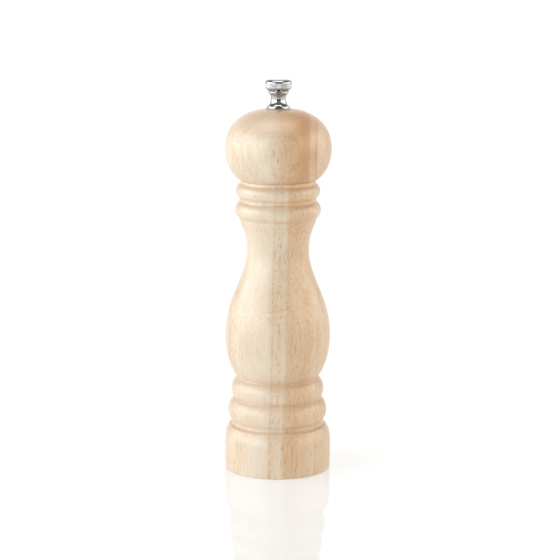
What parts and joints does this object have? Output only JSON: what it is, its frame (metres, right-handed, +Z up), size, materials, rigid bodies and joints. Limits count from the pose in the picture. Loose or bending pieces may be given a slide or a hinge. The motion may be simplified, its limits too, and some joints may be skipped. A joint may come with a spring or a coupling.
{
  "type": "pepper mill",
  "caption": "Turned wooden hand mill with a waisted ringed body, a round turning head and a chromed knurled adjusting knob over a steel burr mechanism.",
  "frame": {"origin": "centre of the body's underside, on the table", "axes": "+Z up along the spindle, +X along the bottom bar, towards one of its screws"},
  "size_m": [0.0582, 0.058, 0.213],
  "materials": {
    "body_wood": "satin clear lacquer on pale rubberwood",
    "head_wood": "satin clear lacquer on pale rubberwood",
    "drawn_aluminium": "drawn, unpolished",
    "burr_steel": "case-hardened, dark grey",
    "zinc_plated_steel": "bright zinc plate",
    "washer_steel": "plain",
    "spring_steel": "bright drawn wire",
    "screw_steel": "zinc plate",
    "nylon": "moulded, natural white",
    "knob_chrome": "bright chrome plate"
  },
  "bodies": {
    "mill": {"mill_body": "body_wood", "burr_housing": "zinc_plated_steel", "outer_burr": "burr_steel", "bearing_bridge": "zinc_plated_steel", "retaining_bar": "zinc_plated_steel", "retaining_screw_1": "screw_steel", "retaining_screw_2": "screw_steel"},
    "drive_bush": {"spindle_bush": "nylon", "spring_washer": "washer_steel"},
    "drive_rod": {"spindle": "drawn_aluminium", "inner_burr": "burr_steel", "rotor_washer": "washer_steel", "retaining_clip": "spring_steel", "adjusting_spring": "spring_steel"},
    "head": {"mill_head": "head_wood", "drive_plate": "zinc_plated_steel", "drive_plate_screw_1": "screw_steel", "drive_plate_screw_2": "screw_steel", "drive_plate_screw_3": "screw_steel"},
    "knob_seat": {"knob_washer": "nylon"},
    "knob": {"adjusting_knob": "knob_chrome"}
  },
  "joints": [
    {"name": "head_turn", "type": "hinge", "parent": "mill", "child": "drive_bush", "pos_m": [0, 0, 0.0355], "axis": [0, 0, 1], "continuous": true},
    {"name": "spindle_slide", "type": "slide", "parent": "drive_bush", "child": "drive_rod", "axis": [0, 0, 1], "range_m": [-0.0008, 0.0008], "stiffness_N_per_m": 1500, "springref_m": -0.006, "deforming": ["adjusting_spring"]},
    {"name": "head_lift", "type": "slide", "parent": "drive_bush", "child": "head", "axis": [0, 0, 1], "range_m": [0, 0.075]},
    {"name": "knob_lift", "type": "slide", "parent": "head", "child": "knob_seat", "axis": [0, 0, 1], "range_m": [0, 0.02]},
    {"name": "knob_turn", "type": "hinge", "parent": "knob_seat", "child": "knob", "pos_m": [0, 0, 0.1975], "axis": [0, 0, 1], "range_deg": [-360, 360]}
  ],
  "couplings": [
    {"joint": "knob_turn", "follows": "spindle_slide", "rad_per_m": -7854}
  ]
}
